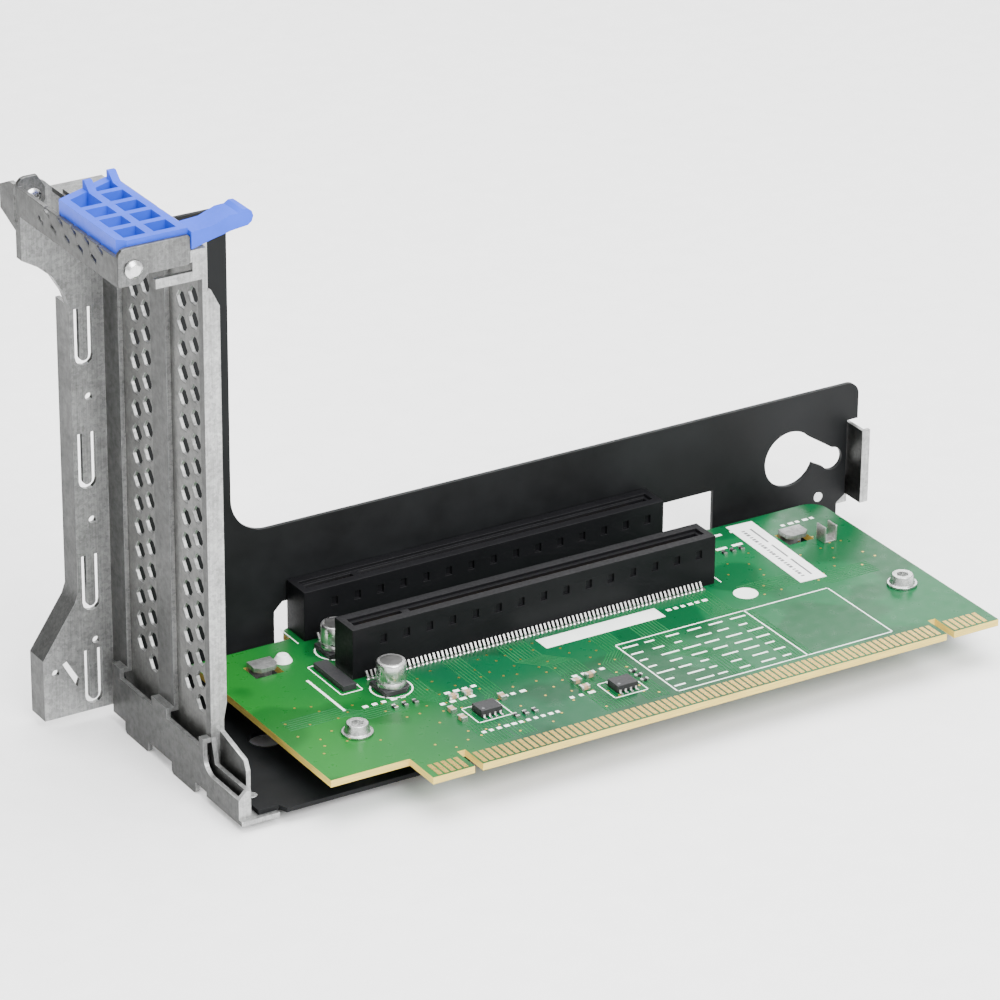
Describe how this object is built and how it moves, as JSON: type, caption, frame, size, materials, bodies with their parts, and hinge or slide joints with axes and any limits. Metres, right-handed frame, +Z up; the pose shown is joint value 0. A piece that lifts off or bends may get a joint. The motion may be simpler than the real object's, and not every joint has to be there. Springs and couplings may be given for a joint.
{
  "type": "riser card assembly",
  "caption": "Server riser card on an L-shaped black carrier with a slot bracket, card slots, blank covers and a hinged blue latch.",
  "frame": {"origin": "corner of the assembly: outer face of the slot bracket wall (X = 0), front face of the carrier plate wall (Y = 0), 4.8 mm above the underside of the carrier floor (Z = 0)", "axes": "+X along the board away from the slot bracket, +Y from the board towards the carrier wall's back, +Z up out of the board"},
  "size_m": [0.2046, 0.0818, 0.1262],
  "materials": {
    "zinc_steel": "zinc-coated sheet, faintly mottled",
    "plated_spring": "bright plated spring sheet",
    "black_paint": "fine-textured satin black coating",
    "rivet_steel": "plated steel",
    "screw_steel": "plated steel",
    "solder_mask": "green solder mask, satin gloss",
    "gold_plate": "gold plating",
    "slot_plastic": "black moulded plastic",
    "tin_plate": "tin plating",
    "latch_blue": "periwinkle blue moulded plastic",
    "white_nylon": "white nylon",
    "label_paper": "white label paper",
    "can_aluminium": "bare aluminium can",
    "base_plastic": "black moulded plastic",
    "chip_epoxy": "black epoxy",
    "resistor_black": "black glaze",
    "capacitor_tan": "tan ceramic"
  },
  "bodies": {
    "riser": {"board_label": "label_paper", "board_screws": "screw_steel", "capacitor_front_base": "base_plastic", "capacitor_front_can": "can_aluminium", "capacitor_rear_base": "base_plastic", "capacitor_rear_can": "can_aluminium", "carrier_plate": "black_paint", "carrier_rivets": "rivet_steel", "chip_capacitors": "capacitor_tan", "chip_far": "chip_epoxy", "chip_far_leads": "tin_plate", "chip_near": "chip_epoxy", "chip_near_leads": "tin_plate", "chip_resistors": "resistor_black", "edge_contacts": "gold_plate", "end_guide": "zinc_steel", "ground_clip": "plated_spring", "guide_rivet": "rivet_steel", "latch_rivet_front": "rivet_steel", "latch_rivet_rear": "rivet_steel", "push_pin": "white_nylon", "rear_bracket": "zinc_steel", "resistor_bank": "chip_epoxy", "riser_board": "solder_mask", "slot_contacts_front": "tin_plate", "slot_contacts_rear": "tin_plate", "slot_cover_front": "zinc_steel", "slot_cover_rear": "zinc_steel", "slot_housing_front": "slot_plastic", "slot_housing_rear": "slot_plastic", "standoffs": "rivet_steel"},
    "latch": {"latch_frame": "zinc_steel", "latch_lever": "latch_blue"}
  },
  "joints": [
    {"name": "latch_pivot", "type": "hinge", "parent": "riser", "child": "latch", "pos_m": [-0.0154, 0, 0.1114], "axis": [0, -1, 0], "range_deg": [0, 90]}
  ]
}
